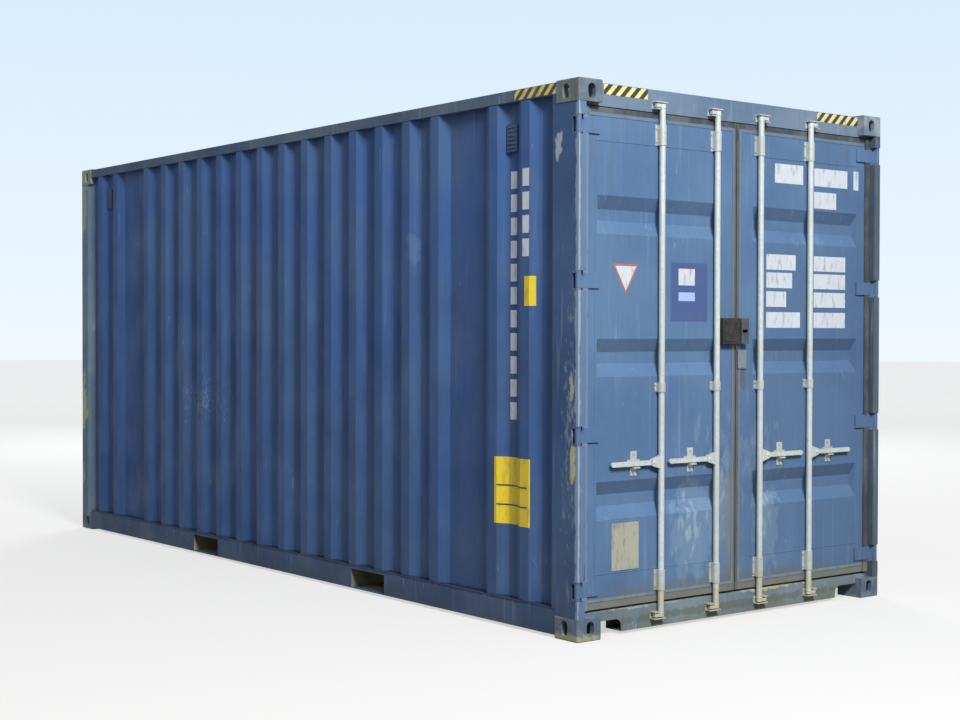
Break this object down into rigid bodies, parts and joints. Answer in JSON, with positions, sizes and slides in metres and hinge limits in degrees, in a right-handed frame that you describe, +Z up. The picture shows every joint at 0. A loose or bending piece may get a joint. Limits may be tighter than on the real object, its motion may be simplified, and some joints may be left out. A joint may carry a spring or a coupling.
{
  "type": "shipping container",
  "caption": "Corrugated steel freight container with hinged end doors, locking bars, corner castings and fork pockets.",
  "frame": {"origin": "centre of the footprint on the ground, under the corner castings", "axes": "+X along the length towards the doors, +Y across the width towards the right door, +Z up"},
  "size_m": [6.058, 2.438, 2.896],
  "materials": {
    "side_paint": "weathered slate blue paint",
    "door_paint": "faded slate blue paint, hazy",
    "roof_paint": "faded blue paint with standing-water marks",
    "frame_paint": "weathered slate blue paint",
    "underframe_paint": "dull dark underseal",
    "casting": "worn cast steel, grey olive",
    "hardware": "paint over forged steel, worn",
    "galvanised": "dull zinc with yellowish grime",
    "rubber": "dusty black rubber",
    "plywood": "worn plywood",
    "lock_paint": "rusty dark brown",
    "vent_cover": "painted over"
  },
  "bodies": {
    "container": {"corner_castings_top": "casting", "corner_castings_bottom": "casting", "corner_post_rear_left": "frame_paint", "corner_post_rear_right": "frame_paint", "corner_post_front_left": "frame_paint", "corner_post_front_right": "frame_paint", "top_side_rail_left": "frame_paint", "top_side_rail_right": "frame_paint", "bottom_side_rail_left": "frame_paint", "bottom_side_rail_right": "frame_paint", "side_wall_left": "side_paint", "side_wall_right": "side_paint", "hinge_lugs": "hardware", "door_header": "frame_paint", "door_sill": "frame_paint", "front_top_rail": "frame_paint", "front_bottom_rail": "frame_paint", "front_wall": "side_paint", "roof": "roof_paint", "vents": "vent_cover", "floor": "plywood", "cross_members": "underframe_paint", "cam_keepers": "hardware", "fork_pocket_front": "underframe_paint", "fork_pocket_rear": "underframe_paint"},
    "door_left": {"door_left_frame": "door_paint", "door_left_panel": "door_paint", "door_left_gasket": "rubber", "door_left_bar_brackets": "hardware", "door_left_handle_catches": "hardware", "lock_box_left": "lock_paint"},
    "door_right": {"door_right_frame": "door_paint", "door_right_panel": "door_paint", "door_right_gasket": "rubber", "door_right_bar_brackets": "hardware", "door_right_handle_catches": "hardware", "lock_box_right": "lock_paint"},
    "bar_1": {"locking_bar_1": "galvanised"},
    "lever_1": {"handle_1": "galvanised"},
    "bar_2": {"locking_bar_2": "galvanised"},
    "lever_2": {"handle_2": "galvanised"},
    "bar_3": {"locking_bar_3": "galvanised"},
    "lever_3": {"handle_3": "galvanised"},
    "bar_4": {"locking_bar_4": "galvanised"},
    "lever_4": {"handle_4": "galvanised"}
  },
  "joints": [
    {"name": "door_left_swing", "type": "hinge", "parent": "container", "child": "door_left", "pos_m": [3.01, -1.203, 1.46], "axis": [0, 0, -1], "range_deg": [0, 255]},
    {"name": "door_right_swing", "type": "hinge", "parent": "container", "child": "door_right", "pos_m": [3.01, 1.203, 1.46], "axis": [0, 0, 1], "range_deg": [0, 255]},
    {"name": "bar_1_turn", "type": "hinge", "parent": "door_left", "child": "bar_1", "pos_m": [3.0065, -0.602, 1.44], "axis": [0, 0, -1], "range_deg": [-110, 0]},
    {"name": "handle_1_lift", "type": "hinge", "parent": "bar_1", "child": "lever_1", "pos_m": [3.0065, -0.662, 0.9], "axis": [1, 0, 0], "range_deg": [-20, 0]},
    {"name": "bar_2_turn", "type": "hinge", "parent": "door_left", "child": "bar_2", "pos_m": [3.0065, -0.177, 1.44], "axis": [0, 0, -1], "range_deg": [-110, 0]},
    {"name": "handle_2_lift", "type": "hinge", "parent": "bar_2", "child": "lever_2", "pos_m": [3.0065, -0.237, 0.9], "axis": [1, 0, 0], "range_deg": [-20, 0]},
    {"name": "bar_3_turn", "type": "hinge", "parent": "door_right", "child": "bar_3", "pos_m": [3.0065, 0.177, 1.44], "axis": [0, 0, 1], "range_deg": [-110, 0]},
    {"name": "handle_3_lift", "type": "hinge", "parent": "bar_3", "child": "lever_3", "pos_m": [3.0065, 0.237, 0.9], "axis": [-1, 0, 0], "range_deg": [-20, 0]},
    {"name": "bar_4_turn", "type": "hinge", "parent": "door_right", "child": "bar_4", "pos_m": [3.0065, 0.602, 1.44], "axis": [0, 0, 1], "range_deg": [-110, 0]},
    {"name": "handle_4_lift", "type": "hinge", "parent": "bar_4", "child": "lever_4", "pos_m": [3.0065, 0.662, 0.9], "axis": [-1, 0, 0], "range_deg": [-20, 0]}
  ]
}
